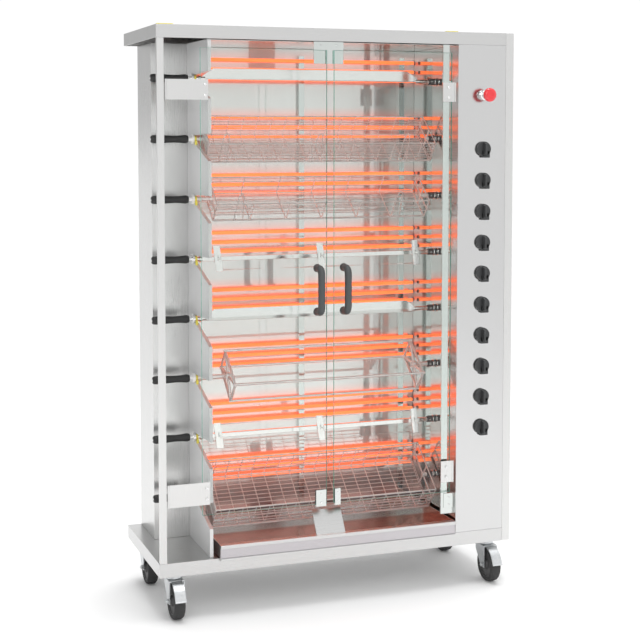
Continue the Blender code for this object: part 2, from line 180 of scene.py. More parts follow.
def wirePiece(name, paths, radius, fine=1, loops=()):  # bent wires as one piece
    line = bpy.data.curves.new(name, "CURVE")
    line.dimensions = "3D"
    line.bevel_depth = radius
    line.bevel_resolution = fine
    line.use_fill_caps = True
    for closed, group in ((False, paths), (True, loops)):
        for path in group:
            spline = line.splines.new("POLY")
            spline.points.add(len(path) - 1)
            for point, spot in zip(spline.points, path):
                point.co = (*spot, 1)
            spline.use_cyclic_u = closed
    pickOnly(placed(bpy.data.objects.new(name, line)))
    bpy.ops.object.convert(target="MESH")
    obj = bpy.context.object
    cleanMesh(obj)
    settle(obj, name)
    return smoothed(obj, 50)


def copyOf(obj, name, shift=(0, 0, 0)):
    twin = obj.copy()
    twin.data = obj.data.copy()
    twin.name = name
    twin.data.name = name
    twin.data.transform(Matrix.Translation(Vector(shift)))
    return placed(twin)


def joined(name, *objs):
    pickOnly(objs[0])
    for obj in objs:
        obj.select_set(True)
    bpy.ops.object.join()
    return settle(bpy.context.object, name)


def carved(obj, *tools):
    for tool in tools:
        step = obj.modifiers.new("Cut", "BOOLEAN")
        step.operation = "DIFFERENCE"
        step.solver = "EXACT"
        step.object = tool
        applyModifiers(obj)
        bpy.data.objects.remove(tool, do_unlink=True)
    return obj


def fromFrame(node, name, width=0.0008, segments=2):  # a softened copy of a sheet-metal piece
    obj = nodes[node].copy()
    obj.data = nodes[node].data.copy()
    obj.parent = None
    for key in list(obj.keys()):
        del obj[key]
    obj.hide_render = False
    obj.name = name
    obj.data.name = name
    pickOnly(placed(obj))
    bpy.ops.object.mode_set(mode="EDIT")
    bpy.ops.mesh.select_all(action="SELECT")
    bpy.ops.mesh.remove_doubles(threshold=0.00001)
    bpy.ops.object.mode_set(mode="OBJECT")
    return rounded(obj, width, segments, 40)


def give(obj, material, slotName, body, *stands):
    obj.data.materials.clear()
    for one in material if isinstance(material, list) else [material]:
        obj.data.materials.append(one)
    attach(obj, body)
    if stands:
        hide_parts(*stands)
    return obj


def clothe(node, material):  # a CAD piece that stays as it is
    nodes[node].data.materials.clear()
    nodes[node].data.materials.append(material)


# materials

def tint(code):
    parts = [int(code[i:i + 2], 16) / 255 for i in (0, 2, 4)]
    return tuple(c / 12.92 if c <= 0.04045 else ((c + 0.055) / 1.055) ** 2.4 for c in parts) + (1,)


def addNode(tree, kind, inputs=None, **settings):
    made = tree.nodes.new("ShaderNode" + kind)
    for name, value in settings.items():
        setattr(made, name, value)
    for socket, value in (inputs or {}).items():
        if isinstance(value, bpy.types.NodeSocket):
            tree.links.new(value, made.inputs[socket])
        else:
            made.inputs[socket].default_value = value
    return made


def surface(name, colour, roughness, metallic, **fixed):
    material = bpy.data.materials.new(name)
    material.use_nodes = True
    tree = material.node_tree
    shader = tree.nodes["Principled BSDF"]
    shader.inputs["Base Color"].default_value = tint(colour)
    shader.inputs["Roughness"].default_value = roughness
    shader.inputs["Metallic"].default_value = metallic
    for socket, value in fixed.items():
        shader.inputs[socket.replace("_", " ")].default_value = value
    return material, tree, shader


def colourEnds(sockets):  # the colour sockets among a node's inputs or outputs
    return [socket for socket in sockets if socket.type == "RGBA"]


def blended(tree, share, first, second):  # two colours, or a colour and a socket, mixed by a share
    node = addNode(tree, "Mix", {"Factor": share}, data_type="RGBA")
    for socket, value in zip(colourEnds(node.inputs), (first, second)):
        if isinstance(value, bpy.types.NodeSocket):
            tree.links.new(value, socket)
        else:
            socket.default_value = tint(value)
    return colourEnds(node.outputs)[0]


def objectSpot(tree):
    return addNode(tree, "TexCoord").outputs["Object"]


# noise drawn out into grain, which moves the colour, the roughness and the relief
def grained(name, colour, roughness, metallic, stretch, colours, spread, bump, **fixed):
    material, tree, shader = surface(name, colour, roughness, metallic, **fixed)
    where = objectSpot(tree)
    turned = addNode(tree, "Mapping", {"Vector": where, "Scale": stretch}).outputs["Vector"]
    grain = addNode(tree, "TexNoise", {"Vector": turned, "Scale": 1.0, "Detail": 3.0}).outputs["Fac"]
    broad = addNode(tree, "TexNoise", {"Vector": where, "Scale": 3.0, "Detail": 2.0}).outputs["Fac"]
    tree.links.new(blended(tree, grain, *colours), shader.inputs["Base Color"])
    both = addNode(tree, "Math", {0: grain, 1: broad}, operation="ADD").outputs[0]
    level = addNode(tree, "MapRange", {"Value": both, "From Min": 0.6, "From Max": 1.4,
                                       "To Min": spread[0], "To Max": spread[1]}).outputs[0]
    tree.links.new(level, shader.inputs["Roughness"])
    if bump:
        relief = addNode(tree, "Bump", {"Height": grain, "Strength": bump, "Distance": 0.0002})
        tree.links.new(relief.outputs["Normal"], shader.inputs["Normal"])
    return material


def brushedSteel(name, stretch, colours, spread=(0.26, 0.31)):
    return grained(name, "DADADA", 0.3, 1.0, stretch, colours, spread, 0)


# painted glow: pink bands on the back wall stand in for the hot rods' light blurred on the steel
paintedRodGlow = {
    "under": 0.016,  # a band begins this far under its spit
    "plain": "DCDCDA",
    "paintedGlow": ((0.10, "F2CEC8"), (0.50, "F2CEC8"), (0.64, "DCDCDA")),  # shares of the spit pitch
    "mirrorShare": 0.5,
}


def makeBackSteel():  # a sharp image over a soft one, with the hot rods' pink glow painted in bands behind each row of rods
    material = grained("steel behind the rods", "E0E0DE", 0.34, 1.0, (8, 8, 8), ("DCDCDA", "E4E2E0"),
                       (0.28, 0.38), 0)
    tree = material.node_tree
    soft = tree.nodes["Principled BSDF"]
    lowest, highest = (pivots["spit_%d_turn" % number].z for number in (spitCount, 1))
    start = lowest - paintedRodGlow["under"]
    pitch = (highest - lowest) / (spitCount - 1)
    high = addNode(tree, "SeparateXYZ", {"Vector": objectSpot(tree)}).outputs["Z"]
    level = addNode(tree, "MapRange", {"Value": high, "From Min": start, "From Max": start + pitch},
                    clamp=False).outputs[0]
    repeat = addNode(tree, "Math", {0: level}, operation="FRACT").outputs[0]
    # the ramp paints the rods' pink glow onto the wall in bands, with the plain steel colour between them
    glowRamp = addNode(tree, "ValToRGB", {"Fac": repeat})
    for element in glowRamp.color_ramp.elements:
        element.color = tint(paintedRodGlow["plain"])
    for position, code in paintedRodGlow["paintedGlow"]:
        glowRamp.color_ramp.elements.new(position).color = tint(code)
    sharp = addNode(tree, "BsdfPrincipled", {"Metallic": 1.0, "Roughness": 0.045})
    for shader in (soft, sharp):
        tree.links.new(glowRamp.outputs["Color"], shader.inputs["Base Color"])
    both = addNode(tree, "MixShader", {0: paintedRodGlow["mirrorShare"], 1: soft.outputs[0], 2: sharp.outputs[0]})
    tree.links.new(both.outputs[0], tree.nodes["Material Output"].inputs["Surface"])
    return material


def makeTrayPaintedReflection():  # steel with a painted brown-red reflection of the hot rods towards the front, plain towards the back
    # the brown colours are a painted reflection of the glowing rods, not a stain
    material = grained("tray floor painted reflection", "C08878", 0.2, 1.0, (25, 25, 25), ("B47464", "CC9484"),
                       (0.14, 0.26), 0.02)
    glowEnds, plainStarts = 0.25, 0.27  # metres behind the front sheets
    tree = material.node_tree
    colour = tree.nodes["Principled BSDF"].inputs["Base Color"]
    glowTone = colour.links[0].from_socket
    deep = addNode(tree, "SeparateXYZ", {"Vector": objectSpot(tree)}).outputs["Y"]
    fade = addNode(tree, "MapRange", {"Value": deep, "From Min": frontPlane + glowEnds,
                                      "From Max": frontPlane + plainStarts}).outputs[0]
    tree.links.new(blended(tree, fade, glowTone, "D4D4D2"), colour)
    return material


# posts and columns, lid and base, the tray's front, the control panel
uprightBrush = brushedSteel("steel brushed up and down", (1500, 1500, 12), ("D2D2D1", "D6D6D5"))
levelBrush = brushedSteel("steel brushed sideways", (12, 1500, 1500), ("CACACA", "CECECD"))
# the tray's face between lip and foot is brushed steel painted darker: painted shade under the lip
trayFrontPaintedShade = brushedSteel("steel tray front painted shade", (12, 1500, 1500), ("BAB7BA", "C0BDC0"))
panelBrush = brushedSteel("steel panel satin", (1500, 1500, 10), ("CACACA", "CECECE"), (0.15, 0.19))
# near-mirror walls that soften far reflections
liningSteel = grained("steel lining bright", "CDD1CF", 0.08, 1.0, (60, 60, 4), ("CACFCC", "D2D6D4"),
                      (0.05, 0.11), 0)
# the duller side sheet that holds the spits
notchSteel = grained("steel wall with notches", "DCDCDC", 0.42, 0.45, (60, 60, 4), ("D6D6D6", "DEDEDE"),
                     (0.38, 0.46), 0)
# blades and forks, with a faint draw mark
barSteel = grained("steel bar polished", "E2E2E0", 0.12, 1.0, (30, 300, 300), ("DADAD8", "EAEAE8"),
                   (0.06, 0.18), 0.05)
# baskets and cradle, duller than the bars
wireSteel = grained("steel wire drawn", "F2F2F1", 0.32, 0.4, (30, 300, 300), ("EAE8E6", "F6F4F3"),
                    (0.24, 0.38), 0.03)
# collars, rings and screw heads
chromePlate = grained("chrome plated", "E6E6E6", 0.05, 1.0, (80, 80, 80), ("E0E0E0", "EEEEEE"),
                      (0.03, 0.10), 0.02)
# casters, slightly cloudy
zincPlate = grained("zinc plated pressing", "D0D2D3", 0.3, 1.0, (140, 140, 140), ("C4C7C9", "DCDEDF"),
                    (0.22, 0.42), 0.10)
# back cover, spangled
backSheet = grained("galvanised back sheet", "B4B8BA", 0.4, 1.0, (90, 90, 90), ("A6ABAE", "BEC2C4"),
                    (0.30, 0.50), 0)
# spit grips, with a fine spark-eroded texture
blackMoulding = grained("black moulding", "232323", 0.5, 0.0, (900, 900, 900), ("1C1C1C", "2B2B2B"),
                        (0.38, 0.58), 0.25)
# control knobs
knobMoulding = grained("charcoal knob moulding", "3A3B3C", 0.45, 0.0, (800, 800, 800), ("2E2F30", "3C3D3E"),
                       (0.36, 0.52), 0.2)
# door handles
bowMoulding = grained("grey handle moulding", "46494A", 0.5, 0.0, (700, 700, 700), ("3E4142", "4C4F50"),
                      (0.42, 0.6), 0.25)
# stop button
redMoulding = grained("red gloss moulding", "E0262E", 0.2, 0.0, (60, 60, 60), ("DC2029", "E83038"),
                      (0.14, 0.26), 0.03, Coat_Weight=0.6)
# bushings and lid bumpers
yellowMoulding = grained("yellow bushing nylon", "E8DC5A", 0.45, 0.0, (300, 300, 300), ("E2D24A", "F0E46A"),
                         (0.36, 0.55), 0.1)
# wheel tread with a dusty bloom, and its grey centre
rubberTyre = grained("caster rubber", "2C2C2C", 0.7, 0.0, (500, 500, 500), ("262626", "3A3A3A"),
                     (0.55, 0.8), 0.3)
hubMoulding = grained("caster hub moulding", "454545", 0.5, 0.0, (500, 500, 500), ("3C3C3C", "4C4C4C"),
                      (0.4, 0.55), 0.15)
# the green of thick glass seen edge-on
glassEdge = grained("glass ground edge", "6FB8A4", 0.25, 0.0, (200, 200, 40), ("62AE9A", "86C6B4"),
                    (0.15, 0.35), 0.05)
# unheated ends of the rods, browned
coldSheath = grained("heating rod cold end", "8A6A5E", 0.4, 1.0, (300, 300, 300), ("7A5A50", "9A7A6C"),
                     (0.3, 0.5), 0.1)


def makePaneGlass():  # clear glass that only shows its reflections and a breath of green
    material = bpy.data.materials.new("pane glass")
    material.use_nodes = True
    tree = material.node_tree
    tree.nodes.remove(tree.nodes["Principled BSDF"])
    out = tree.nodes["Material Output"]
    clear = addNode(tree, "BsdfTransparent", {"Color": (0.980, 0.990, 0.985, 1)})
    where = objectSpot(tree)
    film = addNode(tree, "TexNoise", {"Vector": where, "Scale": 6.0, "Detail": 2.0}).outputs["Fac"]
    haze = addNode(tree, "MapRange", {"Value": film, "To Min": 0.0, "To Max": 0.03}).outputs[0]
    gloss = addNode(tree, "BsdfGlossy", {"Roughness": haze})
    share = addNode(tree, "Fresnel", {"IOR": 1.35}).outputs[0]
    both = addNode(tree, "MixShader", {0: share, 1: clear.outputs[0], 2: gloss.outputs[0]})
    tree.links.new(both.outputs[0], out.inputs["Surface"])
    return material


def makeHotSheath():  # glowing metal sheath, a little uneven along its length
    material, tree, shader = surface("heating rod hot", "B0482A", 0.5, 0.0)
    drawn = addNode(tree, "Mapping", {"Vector": objectSpot(tree), "Scale": (5, 60, 60)}).outputs["Vector"]
    uneven = addNode(tree, "TexNoise", {"Vector": drawn, "Scale": 1.0, "Detail": 2.0}).outputs["Fac"]
    mixed = addNode(tree, "ValToRGB", {"Fac": uneven})
    for element, position, code in zip(mixed.color_ramp.elements, (0.3, 0.7), ("FF6A2E", "FF7A3C")):
        element.position = position
        element.color = tint(code)
    tree.links.new(mixed.outputs["Color"], shader.inputs["Emission Color"])
    shader.inputs["Emission Strength"].default_value = 1.7
    return material


backSteel = makeBackSteel()
trayPaintedReflection = makeTrayPaintedReflection()
paneGlass = makePaneGlass()
hotSheath = makeHotSheath()
print("materials ready")


# sheet-metal shell

shell = {
    "fold": 0.0012,  # outside radius of the folded sheet
    "softening": 0.6,  # share of the fold that the bevel rounds off
    "screwInset": 0.018,
    "backScrewRows": 6,
}


def makeScrew(name, spot, direction, radius, height=0.002):  # dome head with a hexagon recess
    dome = [(0, height), (radius * 0.55, height * 0.92), (radius * 0.9, height * 0.5), (radius, 0), (0, 0)]
    head = turnedPiece(name, dome, spot, direction, 20)
    way = Vector(direction).normalized()
    bore = roundBar("bore", spot + way * height * 0.35, spot + way * height * 1.6, radius * 0.45, 6, 0)
    return carved(head, bore)


def fitScrews(name, body, spots, direction, radius=0.004, height=0.002):
    first = makeScrew(name, spots[0], direction, radius, height)
    rest = [copyOf(first, name, spot - spots[0]) for spot in spots[1:]]
    give(joined(name, first, *rest), chromePlate, "chrome", body)


def makeShell():
    sheets = (
        ("base_plinth", "basePlinth", levelBrush), ("top_cover", "topCover", levelBrush),
        ("rear_housing", "rearColumn", uprightBrush), ("right_housing", "rightSide", uprightBrush),
        ("rear_cover", "rearCover", backSheet), ("control_fascia", "controlFascia", panelBrush),
        ("front_post_left", "frontPost", uprightBrush),
    )
    for node, name, metal in sheets:
        sheet = fromFrame(node, name, shell["fold"] * shell["softening"])
        give(sheet, metal, "stainless_brushed", "root", node)
    for node in ("oven_left_wall", "oven_right_wall", "oven_back_wall", "oven_ceiling"):
        metal = {"oven_back_wall": backSteel, "oven_left_wall": notchSteel}.get(node, liningSteel)
        give(fromFrame(node, node.replace("oven_", "lining_"), 0.0005, 1), metal, "stainless_polished",
             "root", node)
    for node, name, bevel in (("front_post_right", "slimPost", 0.0008),
                              ("catch_plate_top", "catchPlate", 0.0006)):
        give(fromFrame(node, name, bevel), liningSteel, "stainless_polished", "root", node)
    clothe("motor_rail", zincPlate)

    low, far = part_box("rear_cover")
    inset, rows = shell["screwInset"], shell["backScrewRows"]
    spots = []
    for step in range(rows):
        high = low.z + inset + (far.z - low.z - 2 * inset) * step / (rows - 1)
        spots += [Vector((low.x + inset, far.y, high)), Vector((far.x - inset, far.y, high))]
    for step in range(1, 4):
        wide = low.x + (far.x - low.x) * step / 4
        spots += [Vector((wide, far.y, low.z + inset)), Vector((wide, far.y, far.z - inset))]
    fitScrews("rearCoverScrews", "root", spots, (0, 1, 0))

    low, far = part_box("right_housing")
    spots = [Vector((far.x, low.y + (far.y - low.y) * across, low.z + rise))
             for across in (0.08, 0.92) for rise in (0.03, 0.93, 1.83)]
    fitScrews("rightSideScrews", "root", spots, (1, 0, 0))

    low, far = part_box("catch_plate_top")
    spots = [Vector((low.x + (far.x - low.x) * share, low.y, far.z - 0.012)) for share in (0.25, 0.75)]
    fitScrews("catchPlateScrews", "root", spots, (0, -1, 0), 0.003)


makeShell()
print("shell made")


# bumpers on the lid and the foot bracket

smallParts = {
    "bumpers": ((0.004, 0.060), (1.055, 1.100)),  # across, on the lid's front edge
    "bumperDeep": (0.004, 0.020),
    "bumperHigh": 0.003,
    "bracketAcross": (1.058, 1.0985),
    "bracketHigh": (0.292, 0.345),
}


def makeSmallParts():
    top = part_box("top_cover")[1].z
    for number, (start, end) in enumerate(smallParts["bumpers"]):
        low = place(start, smallParts["bumperDeep"][0], top)
        far = place(end, smallParts["bumperDeep"][1], top + smallParts["bumperHigh"])
        give(boxPiece("lidBumper%d" % (number + 1), low, far, 0.0012, 3), yellowMoulding, "chrome", "root")
    low, far = smallParts["bracketAcross"], smallParts["bracketHigh"]
    plate = boxPiece("footBracket", place(low[0], 0.0135, far[0]), place(low[1], 0.0157, far[1]), 0.0008)
    give(plate, liningSteel, "stainless_polished", "root")
    middle = sum(low) / 2
    spots = [place(middle, 0.0135, far[0] + 0.013), place(middle, 0.0135, far[1] - 0.013)]
    fitScrews("footBracketScrews", "root", spots, (0, -1, 0), 0.0035)


makeSmallParts()
print("small parts made")


# heaters

heaters = {
    "radius": 0.0061,
    "coldLong": 0.006,
    "coldShare": 0.98,  # the ends are this share of the rod's radius
    "railAcross": (0.235, 0.640, 1.045),
    "railWide": 0.020,
    "sheet": 0.0015,
    "clipHalf": 0.004,
    "clipWire": 0.0008,
    "heights": (0.009, 0.042, 0.077),  # above each spit's axis
}


def makeHeaters():
    low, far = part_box("heater_bank")
    radius, sheet = heaters["radius"], heaters["sheet"]
    deep = low.y + radius
    turn = far.x - heaters["coldLong"]
    levels = [pivots["spit_%d_turn" % number].z + rise
              for number in range(1, spitCount + 1) for rise in heaters["heights"]]
    for name, start, end, thick, metal, stands in (
            ("hotRods", low.x, turn, radius, hotSheath, ("heater_bank",)),
            ("rodEnds", turn, far.x, radius * heaters["coldShare"], coldSheath, ())):
        first = roundBar(name, Vector((start, deep, levels[0])), Vector((end, deep, levels[0])), thick, 16)
        rest = [copyOf(first, name, (0, 0, level - levels[0])) for level in levels[1:]]
        give(joined(name, first, *rest), metal, "heating_rod", "root", *stands)

    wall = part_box("oven_back_wall")[0].y
    half = heaters["railWide"] / 2
    front = deep + radius + 0.0005
    reach = radius + 0.001
    bend = [Vector((0, math.cos(math.radians(a)) * reach, math.sin(math.radians(a)) * reach))
            for a in range(75, 286, 30)]
    rails = []
    for across in heaters["railAcross"]:
        centre = leftEdge + across
        web = boxPiece("rail", Vector((centre - half, front, low.z)),
                       Vector((centre + half, front + sheet, far.z)), 0.0005)
        sides = [boxPiece("railSide", Vector((centre + side * half - sheet / 2, front, low.z)),
                          Vector((centre + side * half + sheet / 2, wall - 0.0005, far.z)), 0.0004)
                 for side in (-1, 1)]
        rails.append(joined("heaterRail", web, *sides))
        clips = [[Vector((centre + side * heaters["clipHalf"], deep, level)) + point for point in bend]
                 for level in levels for side in (-1, 1)]
        rails.append(wirePiece("rodClips", clips, heaters["clipWire"], 0))
    give(joined("heaterRails", *rails), liningSteel, "heating_rod", "root")


makeHeaters()
print("heaters made")


# doors

doors = {
    "edge": 0.0008,
    "handleRadius": 0.0125,
    "cornerAcross": {"left": (0.562, 0.600), "right": (0.6325, 0.654)},
    "cornerHigh": (0.345, 0.404),
    "leafScrewAcross": {"left": 0.166, "right": 1.062},
    "screwOffset": 0.018,
    "handleBend": 0.022,
}


def makePane(side):
    node = "door_glass_" + side
    pane = fromFrame(node, "pane_" + side, doors["edge"])
    give(pane, [paneGlass, glassEdge], "door_glass", "door_" + side, node)
    for face in pane.data.polygons:
        face.material_index = 0 if abs(face.normal.y) > 0.9 else 1


def makeLeaf(hand, level):
    node = "hinge_leaf_%s_%s" % (level, hand)
    leaf = fromFrame(node, "leaf_%s_%s" % (level, hand), 0.0007)
    give(leaf, uprightBrush, "stainless_brushed", "door_" + hand, node)
    low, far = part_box(node)
    middle = (low.z + far.z) / 2
    across = leftEdge + doors["leafScrewAcross"][hand]
    spots = [Vector((across, low.y + 0.0003, middle + side * doors["screwOffset"])) for side in (-1, 1)]
    fitScrews("leafScrews_%s_%s" % (level, hand), "door_" + hand, spots, (0, -1, 0), 0.005, 0.0025)


def makeHandle(side):
    node = "door_handle_" + side
    low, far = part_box(node)
    across = (low.x + far.x) / 2
    radius = doors["handleRadius"]
    top, bottom = far.z - radius, low.z + radius
    out, foot = low.y + radius, far.y
    bend = doors["handleBend"]
    path = [Vector((across, foot, top)), Vector((across, out + bend, top))]
    path += [Vector((across, out + bend - bend * math.sin(math.radians(a)),
                     top - bend + bend * math.cos(math.radians(a)))) for a in range(15, 91, 15)]
    path += [Vector((across, spot.y, top + bottom - spot.z)) for spot in reversed(path)]
    bow = wirePiece("bow_" + side, [path], radius, 4)
    washers = [roundBar("washer", Vector((across, foot - 0.0025, high)), Vector((across, foot, high)),
                        radius * 1.15, 24, 0.0008) for high in (top, bottom)]
    give(joined("bowHandle_" + side, bow, *washers), bowMoulding, "handle_grey", "door_" + side, node)
    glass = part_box("door_glass_" + side)
    spots = [Vector((across, glass[1].y, high)) for high in (top, bottom)]
    fitScrews("handleScrews_" + side, "door_" + side, spots, (0, 1, 0), 0.006, 0.0025)


def makeCorner(side):
    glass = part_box("door_glass_" + side)
    start, end = doors["cornerAcross"][side]
    low, far = doors["cornerHigh"]
    front = boxPiece("corner", Vector((leftEdge + start, glass[0].y - 0.0018, low)),
                     Vector((leftEdge + end, glass[0].y - 0.0003, far)), 0.0006)
    rear = copyOf(front, "corner", (0, glass[1].y - glass[0].y + 0.0021, 0))
    give(joined("cornerClip_" + side, front, rear), liningSteel, "stainless_polished", "door_" + side)
    middle = leftEdge + (start + end) / 2
    spots = [Vector((middle, glass[0].y - 0.0018, high)) for high in (low + 0.014, far - 0.014)]
    fitScrews("cornerScrews_" + side, "door_" + side, spots, (0, -1, 0))


for side in ("left", "right"):
    makePane(side)
    makeHandle(side)
    makeCorner(side)
    for level in ("lower", "upper"):
        makeLeaf(side, level)
print("doors made")


# drip tray

tray = {
    "lipDeep": (-0.0215, -0.0135),  # the rolled lip stands out in front of the tray's face
    "lipHigh": 0.012,
    "footHigh": 0.010,
    "footBack": 0.002,  # the foot strip stays this far behind the lip
    "floorHigh": 0.020,
    "rim": 0.248,
}


def makeTray():
    low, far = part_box("drip_tray")
    body = fromFrame("drip_tray", "dripTray")
    start, end = tray["lipDeep"]
    rim, under = tray["rim"], tray["rim"] - tray["lipHigh"]
    lip = boxPiece("trayLip", Vector((low.x, frontPlane + start, under)),
                   Vector((far.x, frontPlane + end, rim + 0.0005)), 0.0018, 3)
    foot = boxPiece("trayFoot", Vector((low.x, frontPlane + start + tray["footBack"], low.z + 0.001)),
                    Vector((far.x, frontPlane + end, low.z + tray["footHigh"])), 0.0012)
    whole = joined("dripTray", body, lip, foot)
    give(whole, [levelBrush, trayPaintedReflection, trayFrontPaintedShade], "stainless_polished", "tray", "drip_tray")
    for face in whole.data.polygons:
        spot = face.center
        # floor and inner wall faces get the painted reflection of the rods
        inside = (frontPlane + 0.003 < spot.y < far.y - 0.002 and low.x + 0.002 < spot.x < far.x - 0.002)
        floor = face.normal.z > 0.5 and spot.z < low.z + tray["floorHigh"]
        wall = low.z + 0.004 < spot.z < rim - 0.003 and not floor
        # the face between the lip and the foot takes the darker brush: painted shade under the lip
        front = face.normal.y < -0.9 and low.z + tray["footHigh"] + 0.002 < spot.z < under - 0.001
        face.material_index = 1 if inside and (floor or wall) else 2 if front else 0


makeTray()
print("tray made")


# controls

knob = {
    "radius": 0.027,
    "skirt": 0.012,
    "ridge": 0.0055,  # half the grip's width
    "ridgeOut": 0.030,
}


def makeKnob(number):
    spot = pivots["knob_%d_turn" % number]
    radius, skirt = knob["radius"], knob["skirt"]
    bpy.ops.object.select_all(action="DESELECT")
    bpy.ops.mesh.primitive_cylinder_add(vertices=48, radius=radius, depth=skirt,
                                        location=(0, 0, 0), rotation=(math.radians(90), 0, 0))
    body = settle(bpy.context.object, "knobSkirt")
    heel = boxPiece("knobHeel", Vector((-0.42 * radius, -skirt / 2, -1.16 * radius)),
                    Vector((0.84 * radius, skirt / 2, -0.2 * radius)), 0)
    for vertex in heel.data.vertices:  # the pointer's flat heel, drawn out at the lower right
        if vertex.co.z < -radius and vertex.co.x < 0:
            vertex.co.x += 0.10 * radius
    rounded(heel, 0.0022, 3, 50)
    rounded(body, 0.0022, 3, 50)
    grip = boxPiece("knobGrip", Vector((-knob["ridge"], -knob["ridgeOut"] + skirt / 2, -radius * 0.93)),
                    Vector((knob["ridge"], 0, radius * 0.9)), 0)
    pickOnly(grip)
    for vertex in grip.data.vertices:  # the grip narrows outwards
        if vertex.co.y < -0.01:
            vertex.co.x *= 0.7
            vertex.co.z *= 0.82
    rounded(grip, 0.002, 3)
    face = skirt / 2 - knob["ridgeOut"]
    mark = boxPiece("knobMark", Vector((-0.0008, face - 0.0002, radius * 0.25)),
                    Vector((0.0008, face + 0.001, radius * 0.62)), 0.0002)
    whole = joined("knob%d" % number, body, heel, grip)
    for piece in (whole, mark):
        piece.data.transform(Matrix.Translation(spot - Vector((0, skirt / 2 + 0.001, 0))))
    return whole, mark


def makeControls():
    first, firstMark = makeKnob(1)
    for number in range(1, 11):
        shift = pivots["knob_%d_turn" % number] - pivots["knob_1_turn"]
        one = first if number == 1 else copyOf(first, "knob%d" % number, shift)
        body = "knob_%d" % number
        give(one, knobMoulding, "black_plastic", body, body)
        mark = firstMark if number == 1 else copyOf(firstMark, "knobMark", shift)
        mark.name = "knobMark%d" % number
        give(mark, bowMoulding, "handle_grey", body)

    low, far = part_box("estop_button")
    spot = Vector(((low.x + far.x) / 2, frontPlane, (low.z + far.z) / 2))
    reach = frontPlane - low.y
    profile = [(0, reach - 0.0015), (0.007, reach - 0.0012), (0.0075, reach - 0.0004), (0.0085, reach),
               (0.014, reach - 0.0006), (0.019, reach - 0.0024), (0.0228, reach - 0.0055),
               (0.0248, reach - 0.0095), (0.0248, reach - 0.014), (0.0236, reach - 0.0172),
               (0.0210, reach - 0.0190), (0.0078, reach - 0.0195), (0.0078, 0.001), (0, 0.001)]
    give(turnedPiece("stopButton", profile, spot, (0, -1, 0), 48), redMoulding, "red_plastic", "stop_button",
         "estop_button")
    collar = [(0.0085, 0.0265), (0.0165, 0.0265), (0.0180, 0.0250), (0.0180, 0.0215), (0.0160, 0.0200),
              (0.0150, 0.0190), (0.0150, 0.0070), (0.0175, 0.0055), (0.0175, 0.0005), (0.0085, 0.0005),
              (0.0085, 0.0265)]
    give(turnedPiece("stopCollar", collar, spot, (0, -1, 0), 40), chromePlate, "chrome", "root",
         "estop_collar")


makeControls()
print("controls made")


# casters

caster = {
    "wheel": 0.0625,
    "half": 0.0195,
    "pedalWide": 0.019,
    "pedalReach": 0.0705,
}


def makeWheel(name):
    node = "caster_wheel_" + name
    low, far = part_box(node)
    centre = (low + far) / 2
    radius, half = caster["wheel"], caster["half"]
    body = "wheel_" + name
    tread = mirroredLoop([(0.047, half - 0.002), (0.053, half), (0.058, half - 0.001),
                          (0.0612, half - 0.0045), (radius, half - 0.009)])
    tyre = turnedPiece("tyre_" + name, tread, centre, (1, 0, 0), 48)
    give(tyre, rubberTyre, "wheel_rubber", body, node)
    rim = mirroredLoop([(0.0068, half + 0.001), (0.016, half + 0.001), (0.018, half - 0.001),
                        (0.020, half - 0.006), (0.042, half - 0.006), (0.045, half - 0.002),
                        (0.0468, half - 0.002)])
    hub = turnedPiece("hub_" + name, rim, centre, (1, 0, 0), 40)
    give(hub, hubMoulding, "wheel_rubber", body)


def makeFork(name):
    node = "caster_fork_" + name
    body = "fork_" + name
    fork = fromFrame(node, "casterFork_" + name, 0.0009)
    give(fork, zincPlate, "zinc_plate", body, node)
    swivel = pivots["swivel_" + name]
    race = turnedPiece("race_" + name, [(0.010, -0.003), (0.029, -0.003), (0.031, -0.006), (0.031, -0.014),
                                        (0.028, -0.018), (0.010, -0.018), (0.010, -0.003)],
                       swivel - Vector((0, 0, 0.0025)), (0, 0, 1), 40)
    hub = pivots["roll_" + name]
    axles = []
    for side in (-1, 1):
        base = hub + Vector((side * 0.0275, 0, 0))
        axles.append(roundBar("axleNut", base, base + Vector((side * 0.0055, 0, 0)), 0.0085, 6, 0.0006))
        axles.append(roundBar("axleEnd", base, base + Vector((side * 0.008, 0, 0)), 0.0045, 16, 0.0006))
    give(joined("forkFittings_" + name, race, *axles), zincPlate, "zinc_plate", body)
    if name.startswith("front"):
        makePedal(name, hub, body)


def makePedal(name, hub, body):  # stamped brake plate over the wheel, with two slots and a rolled lip
    wide, reach = caster["pedalWide"], caster["pedalReach"]
    arc = [hub + Vector((0, -reach * math.sin(math.radians(a)), reach * math.cos(math.radians(a))))
           for a in range(8, 79, 10)]
    bpy.ops.object.select_all(action="DESELECT")
    bpy.ops.mesh.primitive_grid_add(x_subdivisions=2, y_subdivisions=len(arc) - 1, size=1)
    plate = settle(bpy.context.object, "pedal")
    for vertex in plate.data.vertices:
        spot = arc[round((vertex.co.y + 0.5) * (len(arc) - 1))]
        vertex.co = spot + Vector((vertex.co.x * 2 * wide, 0, 0))
    thick = plate.modifiers.new("Thick", "SOLIDIFY")
    thick.thickness = 0.0018
    thick.offset = 1
    applyModifiers(plate)
    cleanMesh(plate)
    carved(plate, *[blockAt("slot", arc[5] + Vector((side * wide * 0.6, 0, 0)), (0.0038, 0.012, 0.008), 0)
                    for side in (-1, 1)])
    rounded(plate, 0.0004, 1)
    run = Vector((wide, 0, 0))
    drop = Vector((0, -0.0005, 0))
    lip = roundBar("lip", arc[-1] - run + drop, arc[-1] + run + drop, 0.0028, 14, 0.0008)
    give(joined("brakePedal_" + name, plate, lip), zincPlate, "zinc_plate", body)


for name in ("front_left", "front_right", "rear_left", "rear_right"):
    makeWheel(name)
    makeFork(name)
print("casters made")


# spits

